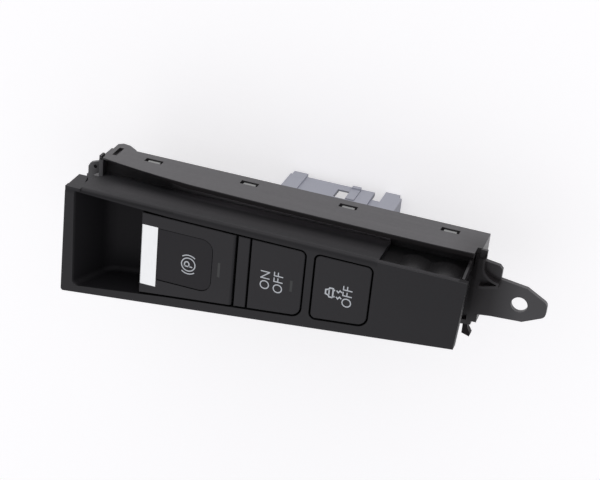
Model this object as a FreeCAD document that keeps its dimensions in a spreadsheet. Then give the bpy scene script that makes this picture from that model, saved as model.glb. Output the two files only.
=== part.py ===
import FreeCAD, Part
import math
import os
import re
import Sketcher

# Electric parking brake switch strip for a centre console.
# Frame: +Z out of the button face, +X along the strip to the fixing tab, +Y to the wall
# with the latch windows. Origin: axis of the fixing hole, in the seat of the tab.

# Sizes in millimetres
SIZES = {
    # Trim panel
    "face_height": 19.7,
    "panel_right": 18.2,
    "left_margin": 4.15,
    "panel_top": 13.7,
    "scoop_end_width": 48.8,
    "tab_end_width": 30.1,
    "left_rake": 1.2,
    "right_rake": 1.7,
    "skin": 2.4,
    "panel_depth": 18.5,
    "flange_wall": 2.0,
    "lower_rim": 4.2,
    "top_round": 2.7,
    "face_round": 0.5,
    "low_corner": 1.2,
    "end_block": 6.6,
    "notch_length": 33.4,
    "notch_rim": 2.0,
    "rim_wall": 1.4,
    "right_rim_depth": 4.2,
    "left_rim_depth": 12.7,
    "left_rim": 4.8,
    # Finger scoop
    "scoop_length": 30.0,
    "scoop_reach": 11.0,
    "scoop_depth": 16.5,
    "scoop_wall": 1.9,
    "scoop_top_rise": 1.5,
    "scoop_slope": 9.5,
    "scoop_round": 7.0,
    "scoop_back_round": 10.5,
    "scoop_corner": 2.2,
    # Buttons and openings along the strip
    "gap": 0.75,
    "stability_right": 55.2,
    "stability_width": 22.7,
    "opening_web": 2.9,
    "scoop_corner_drop": 0.9,
    "hold_width": 22.0,
    "divider_width": 4.95,
    "divider_gap": 0.75,
    "web_inset": 1.2,
    "rail_drop": 1.2,
    "clip_depth": 1.1,
    "lever_gap": 0.85,
    "lever_width": 40.2,
    "button_top": 10.1,
    "lever_top_rise": 0.2,
    "cap_plate": 2.5,
    "skirt_inset": 1.0,
    "skirt_wall": 1.2,
    "skirt_length": 9.0,
    "slide_clearance": 0.3,
    "guide_wall": 1.4,
    "guide_drop": 6.3,
    "button_travel": 1.6,
    "stem_radius": 1.8,
    "cap_round": 2.0,
    "cap_low_round": 4.0,
    "lens_length": 5.0,
    "lens_width": 1.1,
    "lens_depth": 1.6,
    "hold_lens_inset": 4.5,
    "button_axis": 5.0,
    "stem_inset": 7.2,
    # Lever
    "pivot_inset": 1.8,
    "pivot_drop": 4.3,
    "pin_radius": 0.9,
    "pin_clearance": 0.06,
    "bearing_wall": 0.6,
    "bearing_width": 2.2,
    "bearing_side_gap": 0.3,
    "bearing_span": 20.0,
    "ear_wall": 0.9,
    "ear_width": 2.2,
    "lever_plate": 2.6,
    "pivot_round": 1.2,
    "lip_length": 4.5,
    "lip_depth": 5.2,
    "lever_rib": 1.4,
    "lever_rib_depth": 3.6,
    "strip_width": 7.1,
    "strip_thick": 1.0,
    "strip_top": 5.2,
    "strip_length": 27.1,
    "strip_drop": 4.2,
    "dish_right": 120.1,
    "dish_width": 23.7,
    "dish_depth": 0.25,
    "dish_round": 5.0,
    "dish_groove": 0.35,
    "groove_depth": 0.45,
    "sign_inset": 20.7,
    "sign_low": 8.1,
    "lever_lens_inset": 6.4,
    "lever_lens_length": 6.6,
    "arm_thick": 2.4,
    "arm_width": 6.0,
    "arm_centre": -6.0,
    "arm_clearance": 1.5,
    # Housing
    "wall": 2.0,
    "wall_top": 19.4,
    "housing_inset": 5.1,
    "housing_right": 17.6,
    "housing_depth": 33.1,
    "lip_left_drop": 20.9,
    "lip_right_drop": 13.9,
    "lip_bow": 4.0,
    "lip_end_step": 5.4,
    "low_inset": 1.6,
    "deck_drop": 20.7,
    "deck": 2.0,
    "collar_wall": 1.4,
    "collar_drop": 4.9,
    "fit_gap": 0.3,
    "window_pitch": 42.0,
    "window_first": 36.4,
    "window_width": 7.5,
    "window_length": 3.0,
    "lug_side_gap": 1.2,
    "end_step": 1.8,
    "window_depth": 29.3,
    "well_depth": 4.0,
    "well_floor": 1.5,
    # Fixing tab
    "tab_thick": 2.0,
    "hole_radius": 3.25,
    "tab_nose": 10.7,
    "tab_half_nose": 2.9,
    "tab_half_width": 7.4,
    "tab_root": 8.5,
    "tab_shoulder": 14.6,
    "post_width": 2.2,
    "post_thick": 2.4,
    "web_thick": 0.9,
    "web_foot": 5.0,
    # Switch base and circuit board
    "base_floor": 1.8,
    "base_wall": 1.5,
    "base_clearance": 0.2,
    "lug_length": 2.2,
    "lug_recess": 0.6,
    "board_gap": 2.0,
    "board_thick": 1.6,
    "board_left_inset": 5.05,
    "board_right_inset": 16.4,
    "board_margin": 0.7,
    "screw_inset": 4.0,
    "screw_radius": 1.0,
    "screw_head": 2.0,
    "screw_head_height": 1.2,
    "screw_length": 3.4,
    # Slider, domes, lights
    "slider_length": 12.0,
    "slider_width": 8.0,
    "slider_thick": 3.6,
    "slot_clearance": 0.5,
    "dome_radius": 4.2,
    "dome_tip": 2.0,
    "stem_drop": 23.1,
    "guide_light": 5.0,
    "light_drop": 7.1,
    "cap_light_inset": 7.4,
    "led_size": 1.6,
    "led_height": 0.7,
    "spring_radius": 2.2,
    "spring_wire": 0.5,
    "spring_pitch": 2.1,
    "spring_inset": 11.4,
    # Connector
    "socket_left": 108.3,
    "socket_width": 48.7,
    "socket_top": 14.0,
    "socket_height": 14.0,
    "socket_depth": 56.2,
    "socket_wall": 1.8,
    "socket_base": 6.0,
    "horn_width": 6.2,
    "horn_length": 2.8,
    "rail_rise": 0.8,
    "key_depth": 1.1,
    "pin_size": 0.64,
    "pin_pitch": 6.0,
    "pin_row": 5.0,
    "pin_count": 6,
    "pin_depth": 50.7,
}

X_AXIS = FreeCAD.Vector(1, 0, 0)
Y_AXIS = FreeCAD.Vector(0, 1, 0)
Z_AXIS = FreeCAD.Vector(0, 0, 1)

doc = FreeCAD.newDocument("parking_brake_switch")
sheet = doc.addObject("Spreadsheet::Sheet", "Sizes")
for row, (alias, value) in enumerate(SIZES.items(), start=1):
    sheet.set("A%d" % row, alias.replace("_", " "))
    sheet.set("B%d" % row, str(value))
    sheet.setAlias("B%d" % row, alias)
spare = doc.addObject("Spreadsheet::Sheet", "Spare")
doc.recompute()


def size(alias):
    """Number in the cell of this name."""
    return float(sheet.get(alias))


def bound(text):
    """Expression in which each height is written out and each size name points at its cell."""
    text = re.sub(r"[a-z_]+", lambda m: HEIGHTS.get(m.group(0), m.group(0)), str(text))
    return re.sub(r"[a-z_]+", lambda m: "Sizes." + m.group(0) if m.group(0) in SIZES else m.group(0), text)


def hold(thing, path, text):
    thing.setExpression(path, bound(text))


# Heights that hang from the face, as expressions
HEIGHTS = {
    "deck_top": "(face_height - deck_drop)",
    "guide_height": "(face_height - guide_drop)",
    "collar_height": "(face_height - collar_drop)",
    "lip_left": "(face_height - lip_left_drop)",
    "lip_right": "(face_height - lip_right_drop)",
    "stem_tip": "(face_height - stem_drop)",
    "guide_light_top": "(face_height - light_drop)",
    "housing_back": "(housing_depth - face_height)",
    "window_back": "(window_depth - face_height)",
    "socket_end": "(socket_depth - face_height)",
    "pin_reach": "(pin_depth - face_height)",
}

# Places along the strip, as expressions
STABILITY_1 = "(-stability_right)"
STABILITY_0 = "(%s - stability_width)" % STABILITY_1
HOLD_1 = "(%s - gap - opening_web - gap)" % STABILITY_0
HOLD_0 = "(%s - hold_width)" % HOLD_1
DIVIDER_1 = "(%s - divider_gap)" % HOLD_0
DIVIDER_0 = "(%s - divider_width)" % DIVIDER_1
LEVER_1 = "(%s - lever_gap)" % DIVIDER_0
LEVER_0 = "(%s - lever_width)" % LEVER_1
SCOOP_0 = "(%s - scoop_length)" % LEVER_0
SCOOP_1 = "(%s + scoop_reach)" % LEVER_0
X_LEFT = "(%s - left_margin)" % SCOOP_0
X_LEFT_LOW = "(%s - left_rake)" % X_LEFT
X_RIGHT_LOW = "(-panel_right - right_rake)"
SLOPE = "((scoop_end_width - tab_end_width) / (%s - %s))" % (X_RIGHT_LOW, X_LEFT_LOW)
PIVOT_X = "(%s - pivot_inset)" % LEVER_1
PIVOT_Z = "(face_height - pivot_drop)"
SKIN_BACK = "(face_height - skin)"
TRIM_BACK = "(face_height - panel_depth)"
DECK_LOW = "(deck_top - deck)"
FLOOR_TOP = "(base_floor - housing_back)"
BOARD_LOW = "(%s + board_gap)" % FLOOR_TOP
BOARD_TOP = "(%s + board_thick)" % BOARD_LOW
SLIDER_LOW = "(%s + 0.1)" % BOARD_TOP


def low_edge(x, inside="0"):
    """Height of the slanted lower edge of the face at x, moved up by inside."""
    return "(panel_top - scoop_end_width + (%s - %s) * %s + %s)" % (x, X_LEFT_LOW, SLOPE, inside)


def number(text):
    """Value of an expression with the present sizes, worked out in a spare sheet."""
    spare.set("A1", "=" + bound(text))
    spare.recompute()
    return float(spare.get("A1"))


def plane(body, role):
    return [f for f in body.Origin.OriginFeatures if f.Role == role][0]


def new_body(label):
    body = doc.addObject("PartDesign::Body", label)
    body.Label = label
    return body


def new_sketch(body, name, role, offset):
    sketch = body.newObject("Sketcher::SketchObject", name)
    sketch.AttachmentSupport = [(plane(body, role), "")]
    sketch.MapMode = "FlatFace"
    hold(sketch, "AttachmentOffset.Base.z", offset)
    return sketch


def outline(sketch, points):
    """Closed outline of straight lines whose corners are held at their own x and y."""
    count = len(points)
    first = sketch.GeometryCount
    ring = [FreeCAD.Vector(number(x), number(y), 0) for x, y in points]
    for i in range(count):
        sketch.addGeometry(Part.LineSegment(ring[i], ring[(i + 1) % count]))
    for i in range(count):
        sketch.addConstraint(Sketcher.Constraint("Coincident", first + i, 2, first + (i + 1) % count, 1))
    for i, (x, y) in enumerate(points):
        for kind, text, start in (("DistanceX", x, ring[i].x), ("DistanceY", y, ring[i].y)):
            index = sketch.addConstraint(Sketcher.Constraint(kind, -1, 1, first + i, 1, start))
            hold(sketch, "Constraints[%d]" % index, text)


def circles(sketch, places):
    """Circles held at x, y with radius r."""
    for x, y, r in places:
        centre = FreeCAD.Vector(number(x), number(y), 0)
        index = sketch.addGeometry(Part.Circle(centre, Z_AXIS, number(r)))
        for kind, text, start in (("DistanceX", x, centre.x), ("DistanceY", y, centre.y)):
            held = sketch.addConstraint(Sketcher.Constraint(kind, -1, 1, index, 3, start))
            hold(sketch, "Constraints[%d]" % held, text)
        held = sketch.addConstraint(Sketcher.Constraint("Radius", index, number(r)))
        hold(sketch, "Constraints[%d]" % held, r)


def solid_from(body, name, sketch, length, cut=False, reverse=False):
    """Pad or pocket of a sketch; reverse turns it to the other side of the sketch."""
    feature = body.newObject("PartDesign::Pocket" if cut else "PartDesign::Pad", name)
    feature.Profile = sketch
    feature.Reversed = reverse
    hold(feature, "Length", length)
    sketch.Visibility = False
    return feature


def raise_outline(body, name, points, z0, z1):
    sketch = new_sketch(body, name + "_sketch", "XY_Plane", z0)
    outline(sketch, points)
    return solid_from(body, name, sketch, "(%s) - (%s)" % (z1, z0))


def sink_outline(body, name, points, z0, z1):
    """Pocket with this outline between the heights z0 and z1."""
    sketch = new_sketch(body, name + "_sketch", "XY_Plane", z1)
    outline(sketch, points)
    return solid_from(body, name, sketch, "(%s) - (%s)" % (z1, z0), cut=True)


def side_cut(body, name, points, y0, y1):
    """Pocket with an outline in x and z between y0 and y1."""
    sketch = new_sketch(body, name + "_sketch", "XZ_Plane", "-(%s)" % y1)
    outline(sketch, points)
    return solid_from(body, name, sketch, "(%s) - (%s)" % (y1, y0), cut=True, reverse=True)


def side_pad(body, name, points, y0, y1):
    """Pad with an outline in x and z between y0 and y1."""
    sketch = new_sketch(body, name + "_sketch", "XZ_Plane", "-(%s)" % y1)
    outline(sketch, points)
    return solid_from(body, name, sketch, "(%s) - (%s)" % (y1, y0))


def end_pad(body, name, points, x0, x1):
    """Pad with an outline in y and z between x0 and x1."""
    sketch = new_sketch(body, name + "_sketch", "YZ_Plane", x0)
    outline(sketch, points)
    return solid_from(body, name, sketch, "(%s) - (%s)" % (x1, x0))


def block(body, name, x0, x1, y0, y1, z0, z1, cut=False):
    box = body.newObject("PartDesign::SubtractiveBox" if cut else "PartDesign::AdditiveBox", name)
    for path, text in (("Placement.Base.x", x0), ("Placement.Base.y", y0), ("Placement.Base.z", z0)):
        hold(box, path, text)
    hold(box, "Length", "(%s) - (%s)" % (x1, x0))
    hold(box, "Width", "(%s) - (%s)" % (y1, y0))
    hold(box, "Height", "(%s) - (%s)" % (z1, z0))
    return box


def bar(body, name, axis, start, radius, length, cut=False):
    """Round bar or bore from the point start along Z or Y."""
    piece = body.newObject("PartDesign::SubtractiveCylinder" if cut else "PartDesign::AdditiveCylinder", name)
    if axis == "Y":
        piece.Placement = FreeCAD.Placement(
            FreeCAD.Vector(0, 0, 0), FreeCAD.Rotation(FreeCAD.Vector(1, 0, 0), -90)
        )
    for path, text in zip(("Placement.Base.x", "Placement.Base.y", "Placement.Base.z"), start):
        hold(piece, path, text)
    hold(piece, "Radius", radius)
    hold(piece, "Height", length)
    return piece


def round_edges(body, name, radius, wanted):
    """Fillet on the edges of the body that the test wanted accepts."""
    doc.recompute()
    tip = body.Tip
    names = ["Edge%d" % (i + 1) for i, edge in enumerate(tip.Shape.Edges) if wanted(edge)]
    if not names:
        raise RuntimeError("no edge found for " + name)
    fillet = body.newObject("PartDesign::Fillet", name)
    fillet.Base = (tip, names)
    hold(fillet, "Radius", radius)
    return fillet


def straight(edge, direction):
    """True for a straight edge along this direction, with a little slant allowed."""
    if len(edge.Vertexes) != 2:
        return False
    run = edge.Vertexes[1].Point - edge.Vertexes[0].Point
    return run.Length > 0.5 and abs(run.normalize().dot(direction)) > 0.985


def near(value, target, within=0.05):
    return abs(value - target) < within


# Trim panel: one moulding with the face, its rounded top edge and flange, the finger scoop
# and the two openings for the buttons
trim = new_body("trim_panel")
raise_outline(trim, "panel_block", [
    (X_LEFT, "panel_top"),
    (X_LEFT_LOW, "panel_top - scoop_end_width"),
    (X_RIGHT_LOW, "panel_top - tab_end_width"),
    ("-panel_right", "panel_top"),
], TRIM_BACK, "face_height")
top_y = size("panel_top")
front_z = size("face_height")
left_low_x = number(X_LEFT_LOW)
round_edges(trim, "left_low_corner", "low_corner", lambda e: straight(e, Z_AXIS) and
    near(e.CenterOfMass.x, left_low_x))
round_edges(trim, "rounded_top_edge", "top_round", lambda e: straight(e, X_AXIS) and all(
    near(v.Y, top_y) and near(v.Z, front_z) for v in e.Vertexes))
round_edges(trim, "softened_face_edges", "face_round", lambda e: len(e.Vertexes) == 2 and all(
    near(v.Z, front_z) for v in e.Vertexes) and e.CenterOfMass.y < top_y - size("top_round") - 0.05)

# Square block at the scoop end of the rounded edge
block(trim, "top_end_block", X_LEFT, X_LEFT + " + end_block", "panel_top - top_round - 0.4", "panel_top",
      "face_height - top_round - 0.4", "face_height - face_round")

# Back of the scoop end: the end rim stops short and the bowl behind it has a round corner
BACK_CORNER_X = "(%s + left_rim + 1)" % X_LEFT
side_cut(trim, "scoop_back", [
    ("%s - 4" % X_LEFT_LOW, "face_height - left_rim_depth"),
    ("%s + left_rim - 0.6" % X_LEFT, "face_height - left_rim_depth"),
    (BACK_CORNER_X, "face_height - 0.52 * left_rim_depth"),
    (BACK_CORNER_X, TRIM_BACK + " - 1"),
    ("%s - 4" % X_LEFT_LOW, TRIM_BACK + " - 1"),
], "panel_top - scoop_end_width - 2", "panel_top + 2")
corner_x = number(BACK_CORNER_X)
back_z = number(TRIM_BACK)
round_edges(trim, "scoop_back_curve", "scoop_back_round", lambda e: straight(e, Y_AXIS) and all(
    near(v.X, corner_x) and near(v.Z, back_z) for v in e.Vertexes))

# Hollow back, from the bowl's end wall to the right rim
HOLLOW_0 = "(%s + scoop_wall)" % SCOOP_1
HOLLOW_1 = "(%s - flange_wall)" % X_RIGHT_LOW
sink_outline(trim, "hollow_back", [
    (HOLLOW_0, "panel_top - flange_wall"),
    (HOLLOW_0, low_edge(HOLLOW_0, "flange_wall")),
    (HOLLOW_1, low_edge(HOLLOW_1, "flange_wall")),
    ("-panel_right - rim_wall", "panel_top - flange_wall"),
], TRIM_BACK + " - 1", SKIN_BACK)

# Openings: one for lever, divider and hold button, one for the stability button
OPEN_TOP = "(button_top + gap)"
FIRST_1 = "(%s + gap)" % HOLD_1
SECOND_0 = "(%s - gap)" % STABILITY_0
SECOND_1 = "(%s + gap)" % STABILITY_1
sink_outline(trim, "first_opening", [
    (SCOOP_1, OPEN_TOP + " + lever_top_rise"),
    (SCOOP_1, low_edge(SCOOP_1, "lower_rim")),
    (FIRST_1, low_edge(FIRST_1, "lower_rim")),
    (FIRST_1, OPEN_TOP),
], SKIN_BACK + " - 0.5", "face_height")
sink_outline(trim, "second_opening", [
    (SECOND_0, OPEN_TOP),
    (SECOND_0, low_edge(SECOND_0, "lower_rim")),
    (SECOND_1, low_edge(SECOND_1, "lower_rim")),
    (SECOND_1, OPEN_TOP),
], SKIN_BACK + " - 0.5", "face_height")


def opening_corner(x, upper):
    """Test for the corner edge of an opening at x, in its upper or lower half."""
    place = number(x)
    return lambda e: straight(e, Z_AXIS) and near(e.CenterOfMass.x, place) and (
        (e.CenterOfMass.y > 0) == upper) and e.CenterOfMass.z > number(SKIN_BACK) - 0.6


for name, radius, x, upper in (
    ("first_top_corner", "cap_round + gap", FIRST_1, True),
    ("first_low_corner", "cap_low_round + gap", FIRST_1, False),
    ("second_top_corner", "cap_round + gap", SECOND_1, True),
    ("second_low_corner", "cap_low_round + gap", SECOND_1, False),
    ("second_top_left", "cap_round + gap", SECOND_0, True),
    ("second_low_left", "cap_round + gap", SECOND_0, False),
):
    round_edges(trim, name, radius, opening_corner(x, upper))

# Finger scoop: a bowl that narrows from the face to its floor
SCOOP_FLOOR = "(face_height - scoop_depth)"
mouth = new_sketch(trim, "scoop_mouth", "XY_Plane", "face_height")
outline(mouth, [
    (SCOOP_0, OPEN_TOP + " + scoop_top_rise"),
    (SCOOP_0, low_edge(SCOOP_0, "lower_rim - scoop_corner_drop")),
    (SCOOP_1, low_edge(SCOOP_1, "lower_rim")),
    (SCOOP_1, OPEN_TOP + " + lever_top_rise"),
])
floor = new_sketch(trim, "scoop_floor", "XY_Plane", SCOOP_FLOOR)
outline(floor, [
    ("%s + scoop_slope" % SCOOP_0, OPEN_TOP + " + lever_top_rise"),
    ("%s + scoop_slope" % SCOOP_0, low_edge("(%s + scoop_slope)" % SCOOP_0, "lower_rim + 0.3")),
    ("%s - 1" % SCOOP_1, low_edge("(%s - 1)" % SCOOP_1, "lower_rim + 0.3")),
    ("%s - 1" % SCOOP_1, OPEN_TOP + " + lever_top_rise - 0.1"),
])
bowl = trim.newObject("PartDesign::SubtractiveLoft", "scoop_bowl")
bowl.Profile = mouth
bowl.Sections = [floor]
bowl.Ruled = True
floor_z = number(SCOOP_FLOOR)
scoop_x = number(SCOOP_0)
round_edges(trim, "scoop_floor_curve", "scoop_round", lambda e: straight(e, Y_AXIS) and all(
    near(v.Z, floor_z) for v in e.Vertexes) and e.CenterOfMass.x < scoop_x + size("scoop_slope") + 1)
round_edges(trim, "scoop_low_corner", "scoop_corner", lambda e: len(e.Vertexes) == 2 and
    e.CenterOfMass.x < scoop_x + size("scoop_slope") and e.CenterOfMass.y < 0 and
    near(max(v.Z for v in e.Vertexes), front_z) and min(v.Z for v in e.Vertexes) < front_z - 2)
block(trim, "bowl_end_lowered", SCOOP_1 + " - 1.2", HOLLOW_0 + " + 0.1",
      low_edge(SCOOP_1, "lower_rim + 0.4"), OPEN_TOP, "guide_height + 0.4", "face_height", cut=True)

# Cut-away at the tab end of the top flange; the face keeps a sharp edge there
NOTCH_1 = "(-panel_right - notch_rim)"
NOTCH_0 = "(%s - notch_length)" % NOTCH_1
block(trim, "notch", NOTCH_0, "-panel_right + 1", "panel_top - flange_wall - 0.5", "panel_top + 1",
      TRIM_BACK + " - 1", SKIN_BACK + " + 0.4", cut=True)
block(trim, "face_at_notch", NOTCH_0, "-panel_right - 0.1", "panel_top - flange_wall - top_round",
      "panel_top - 0.4", SKIN_BACK, "face_height")
block(trim, "right_rim_end", HOLLOW_1 + " - 3", "-panel_right + 2", "panel_top - tab_end_width - 4",
      "panel_top + 1", TRIM_BACK + " - 1", "face_height - right_rim_depth", cut=True)

# Housing: one black moulding with the tall wall and its latch windows, the deck that carries
# the lever and the buttons, the collar that fills the trim panel, and the fixing tab
housing = new_body("housing")
LEFT = "(%s + housing_inset)" % X_LEFT
RIGHT = "(-housing_right)"
INNER_0 = "(%s + wall)" % LEFT
INNER_1 = "(%s - wall)" % RIGHT
raise_outline(housing, "housing_block", [
    (LEFT, "wall_top"),
    (LEFT, low_edge(LEFT, "low_inset")),
    (RIGHT, low_edge(RIGHT, "low_inset")),
    (RIGHT, "wall_top"),
], "-housing_back", "lip_right + 1")
LIP_BOW = (
    (0.06, 0.37), (0.12, 0.64), (0.18, 0.84), (0.26, 1), (0.4, 0.94),
    (0.5, 0.86), (0.65, 0.66), (0.8, 0.44), (0.9, 0.28),
)
lip_line = [(LEFT + " - 1", "lip_left - 0.2")]
for along, rise in LIP_BOW:
    lip_line.append((
        "(%s + %.2f * (%s - %s))" % (LEFT, along, RIGHT, LEFT),
        "lip_left + %.2f * (lip_right - lip_left) + %.2f * lip_bow" % (along, rise),
    ))
lip_line.append((RIGHT + " + 1", "lip_right"))
side_cut(housing, "bowed_lip", lip_line + [
    (RIGHT + " + 1", "lip_right + 3"),
    (LEFT + " - 1", "lip_right + 3"),
], "panel_top - scoop_end_width", "wall_top + 1")
block(housing, "lowered_front", LEFT + " - 1", RIGHT + " + 1", "panel_top - scoop_end_width",
      "wall_top - wall", TRIM_BACK + " - fit_gap", "lip_right + 2", cut=True)
block(housing, "lip_end", RIGHT + " - wall", RIGHT + " + 1", "wall_top - wall - 0.5", "wall_top + 1",
      "lip_right - lip_end_step", "lip_right + 2", cut=True)


def housing_inside(edge):
    return [
        (INNER_0 + " + " + edge, "wall_top - wall - " + edge),
        (INNER_0 + " + " + edge, low_edge(INNER_0, "low_inset + wall + " + edge)),
        (INNER_1 + " - " + edge, low_edge(INNER_1, "low_inset + wall + " + edge)),
        (INNER_1 + " - " + edge, "wall_top - wall - " + edge),
    ]


sink_outline(housing, "back_room", housing_inside("0"), "-housing_back - 1", DECK_LOW)
sink_outline(housing, "front_room", housing_inside("0"), "deck_top", "lip_right + 2")

# Well in the deck behind the scoop, along the tall wall, whose lip is thinner there
WELL_1 = "(%s + 4)" % LEVER_0
WELL_LOW = "(panel_top - flange_wall - 0.7)"
block(housing, "well_shell", INNER_0 + " - 0.5", WELL_1 + " + well_floor", WELL_LOW + " - well_floor",
      "wall_top - wall + 0.5", "deck_top - well_depth - well_floor", DECK_LOW + " + 0.1")
block(housing, "well_room", INNER_0, WELL_1, WELL_LOW, "wall_top - wall", "deck_top - well_depth",
      "deck_top + 1", cut=True)
sink_outline(housing, "thin_lip", [
    (INNER_0, "wall_top - wall - 0.1"),
    (INNER_0, "wall_top - 0.35 * wall"),
    (WELL_1 + " - 5", "wall_top - 0.35 * wall"),
    (WELL_1 + " + 7", "wall_top - wall - 0.1"),
], "lip_left - 3.3", "lip_right + 2")


def collar_outline(edge):
    start = "(%s + fit_gap + %s)" % (HOLLOW_0, edge)
    end = "(%s - fit_gap - %s)" % (HOLLOW_1, edge)
    return [
        (start, "panel_top - flange_wall - fit_gap - " + edge),
        (start, low_edge(start, "flange_wall + fit_gap + " + edge)),
        (end, low_edge(end, "flange_wall + fit_gap + " + edge)),
        (end, "panel_top - flange_wall - fit_gap - " + edge),
    ]


raise_outline(housing, "collar", collar_outline("0"), "deck_top", "collar_height")
sink_outline(housing, "collar_room", collar_outline("collar_wall"), "deck_top", "collar_height + 1")

# Two rounded pads on the collar behind the cut-away, and the thin end wall of the cut-away that
# rises from the tall wall to the face
PAD_Y = "(panel_top - flange_wall - fit_gap)"
for name, middle in (("pad_a", "(%s + 12.4)" % NOTCH_0), ("pad_b", "(%s + 25)" % NOTCH_0)):
    arc = [("%s + 5.9" % middle, PAD_Y + " - 1"), ("%s - 5.9" % middle, PAD_Y + " - 1")]
    for step in range(11):
        across = step / 5 - 1
        arc.append(("%s + 5.9 * %.2f" % (middle, across), "%s + 1.7 * %.4f" % (PAD_Y, 1 - across ** 2)))
    raise_outline(housing, name, arc, "deck_top + 7", SKIN_BACK + " - 0.2")
END_WALL = "(-panel_right - rim_wall - 0.4)"
end_pad(housing, "notch_end_wall", [
    ("wall_top - wall + 0.4", "deck_top - 0.5"),
    ("wall_top - wall + 0.4", "lip_right - 2.2"),
    ("wall_top - wall - 1", "lip_right - 1.2"),
    ("wall_top - wall - 1.8", "lip_right + 0.8"),
    ("wall_top - wall - 2.3", "lip_right + 4.4"),
    ("wall_top - wall - 3.1", SKIN_BACK + " - 2.7"),
    ("wall_top - wall - 3.9", SKIN_BACK + " - 0.3"),
    (PAD_Y, SKIN_BACK + " - 0.3"),
    (PAD_Y, "deck_top - 0.5"),
], END_WALL + " - 1", END_WALL)

# Web under the divider strip
WEB_0 = "(%s + web_inset)" % DIVIDER_0
WEB_1 = "(%s - web_inset)" % DIVIDER_1
WEB_TOP = "(face_height - cap_plate - rail_drop)"
block(housing, "divider_web", WEB_0, WEB_1, low_edge(WEB_1, "flange_wall + fit_gap + 0.6"),
      "panel_top - flange_wall - fit_gap - 0.6", "deck_top", "collar_height")
block(housing, "divider_rail", WEB_0, WEB_1, low_edge(WEB_1, "lower_rim + gap + 1"),
      "button_top - 1", "collar_height", WEB_TOP)

# Guide tubes of the two push buttons
GUIDE_EDGE = "(skirt_inset + skirt_wall + slide_clearance)"
for name, x0, x1 in (("hold_guide", HOLD_0, HOLD_1), ("stability_guide", STABILITY_0, STABILITY_1)):
    low = low_edge(x1, "lower_rim + gap")
    block(housing, name, "%s + %s" % (x0, GUIDE_EDGE), "%s - %s" % (x1, GUIDE_EDGE),
          "%s + %s" % (low, GUIDE_EDGE), "button_top - " + GUIDE_EDGE, "deck_top", "guide_height")
    block(housing, name + "_room", "%s + %s + guide_wall" % (x0, GUIDE_EDGE),
          "%s - %s - guide_wall" % (x1, GUIDE_EDGE), "%s + %s + guide_wall" % (low, GUIDE_EDGE),
          "button_top - %s - guide_wall" % GUIDE_EDGE, "deck_top", "guide_height + 1", cut=True)

# Bearing posts of the lever
POST_RADIUS = "(pin_radius + bearing_wall)"
BEARING_HIGH = "(arm_centre + bearing_span / 2)"
BEARING_LOW = "(arm_centre - bearing_span / 2 - bearing_width)"
for name, y0 in (("bearing_high", BEARING_HIGH), ("bearing_low", BEARING_LOW)):
    y1 = "(%s + bearing_width)" % y0
    block(housing, name, "%s - %s" % (PIVOT_X, POST_RADIUS), "%s + %s" % (PIVOT_X, POST_RADIUS),
          y0, y1, "deck_top", PIVOT_Z)
    block(housing, name + "_foot", "%s - 2.4 * %s" % (PIVOT_X, POST_RADIUS),
          "%s + %s" % (PIVOT_X, POST_RADIUS), y0, y1, "deck_top", "deck_top + 8")
    bar(housing, name + "_head", "Y", (PIVOT_X, y0, PIVOT_Z), POST_RADIUS, "bearing_width")
bar(housing, "bearing_bore", "Y", (PIVOT_X, BEARING_LOW + " - 1", PIVOT_Z), "pin_radius + 0.02",
    "bearing_span + 2 * bearing_width + 2", cut=True)

# Holes in the deck: lever arm, button stems, light guides; rails and spring seat
BUTTON_Y = "(-button_axis)"
STEM_X = {"hold": "(%s - stem_inset)" % HOLD_1, "stability": "(%s - stem_inset)" % STABILITY_1}
LIGHT_PLACES = (
    ("lever", "(%s + sign_inset)" % LEVER_0, "(-sign_low)"),
    ("hold", "(%s + cap_light_inset)" % HOLD_0, BUTTON_Y),
    ("stability", "(%s + cap_light_inset)" % STABILITY_0, BUTTON_Y),
)
block(housing, "arm_slot", "%s - 4.6" % PIVOT_X, "%s + 3.4" % PIVOT_X,
      "arm_centre - arm_width / 2 - 1", "arm_centre + arm_width / 2 + 1", DECK_LOW + " - 1",
      "deck_top + 1", cut=True)
for name, x in STEM_X.items():
    bar(housing, name + "_stem_hole", "Z", (x, BUTTON_Y, DECK_LOW + " - 1"),
        "stem_radius + slide_clearance", "deck + 2", cut=True)
for name, x, y in LIGHT_PLACES:
    half = "(guide_light / 2 + 0.1)"
    block(housing, name + "_light_hole", "%s - %s" % (x, half), "%s + %s" % (x, half),
          "%s - %s" % (y, half), "%s + %s" % (y, half), DECK_LOW + " - 1", "deck_top + 1", cut=True)
RAIL_0 = "(%s - slider_length / 2 - 5)" % PIVOT_X
RAIL_1 = "(%s + slider_length / 2 + 4)" % PIVOT_X
RAIL_SIDE = "(slider_width / 2 + slide_clearance)"
for name, y0, y1 in (
    ("rail_high", "arm_centre + " + RAIL_SIDE, "arm_centre + %s + collar_wall" % RAIL_SIDE),
    ("rail_low", "arm_centre - %s - collar_wall" % RAIL_SIDE, "arm_centre - " + RAIL_SIDE),
):
    block(housing, name, RAIL_0, RAIL_1, y0, y1, BOARD_TOP + " + slide_clearance", DECK_LOW)
SPRING_X = "(%s - spring_inset)" % LEVER_1
bar(housing, "spring_seat", "Z", (SPRING_X, "arm_centre", "deck_top"),
    "spring_radius - spring_wire / 2 - 0.15", "2")

# Latch windows in the tall wall and in the lower wall
WINDOWS = ["(-window_first - %d * window_pitch)" % i for i in range(4)]
for i, x0 in enumerate(WINDOWS):
    x1 = "(%s + window_width)" % x0
    z0 = "-window_back"
    z1 = "window_length - window_back"
    block(housing, "window_%d" % (i + 1), x0, x1, "wall_top - wall - 0.5", "wall_top + 1", z0, z1, cut=True)
    block(housing, "low_window_%d" % (i + 1), x0, x1, low_edge(x0, "low_inset - 1"),
          low_edge(x1, "low_inset + wall + 0.5"), z0, z1, cut=True)

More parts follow.
